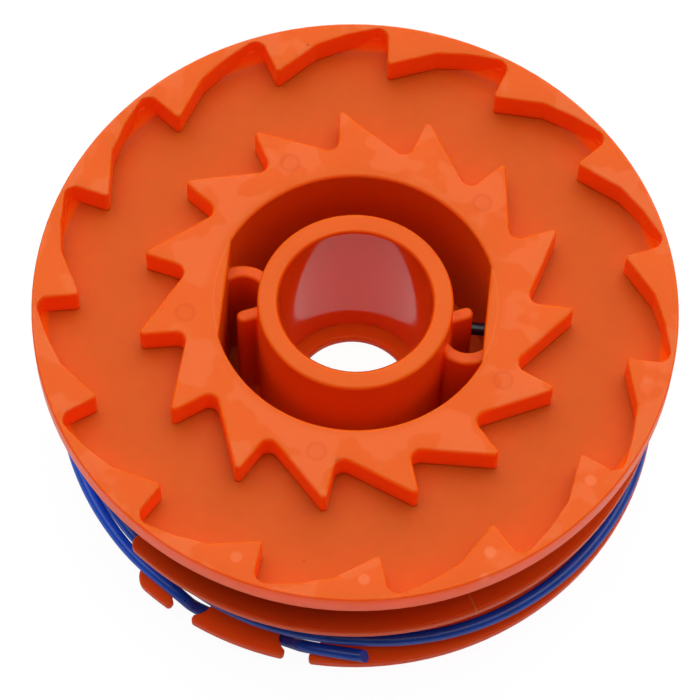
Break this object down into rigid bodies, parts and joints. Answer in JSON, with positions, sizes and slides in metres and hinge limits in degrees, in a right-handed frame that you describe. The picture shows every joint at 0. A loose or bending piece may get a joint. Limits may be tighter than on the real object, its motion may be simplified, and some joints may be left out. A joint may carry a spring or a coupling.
{
  "type": "trimmer line spool",
  "caption": "Round moulded spool with three flanges, two channels of wound trimmer line and a dished top face with inner and outer rings of ratchet teeth round a hub bore.",
  "frame": {"origin": "on the spool's axis at the foot of its hub, the lowest point of the part", "axes": "+Z along the axis to the toothed face, X across the two flat sides of the well"},
  "size_m": [0.079, 0.079, 0.0266],
  "materials": {
    "orange_plastic": "satin moulded",
    "blue_line": "glossy drawn line"
  },
  "bodies": {
    "root": {"spool_body": "orange_plastic", "lower_line": "blue_line", "upper_line": "blue_line"}
  },
  "joints": []
}
